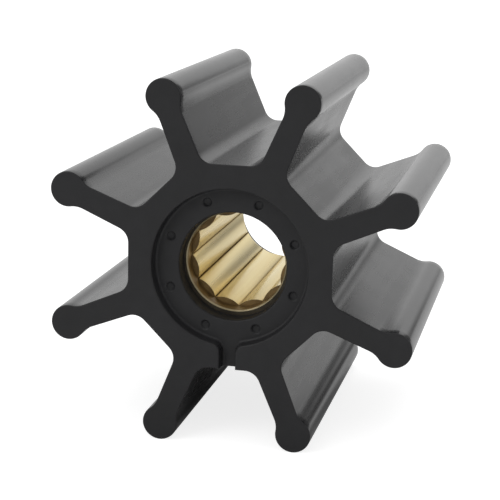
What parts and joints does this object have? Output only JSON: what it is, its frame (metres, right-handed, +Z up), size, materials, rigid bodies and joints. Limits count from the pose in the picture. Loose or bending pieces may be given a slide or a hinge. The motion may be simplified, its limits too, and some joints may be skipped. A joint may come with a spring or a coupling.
{
  "type": "pump impeller",
  "caption": "Flexible rubber impeller for a water pump: a star of round-tipped vanes moulded over a brass insert with a splined bore.",
  "frame": {"origin": "on the shaft line, half way between the two end faces", "axes": "+Y along the shaft line from the front face with the water groove to the rear face, +Z up with the water groove pointing straight down, +X to the right seen from the front"},
  "size_m": [0.0604, 0.0508, 0.0604],
  "materials": {
    "rubber": "satin moulded black rubber",
    "brass": "satin machined brass"
  },
  "bodies": {
    "root": {"rubber_rotor": "rubber", "splined_insert": "brass"}
  },
  "joints": []
}
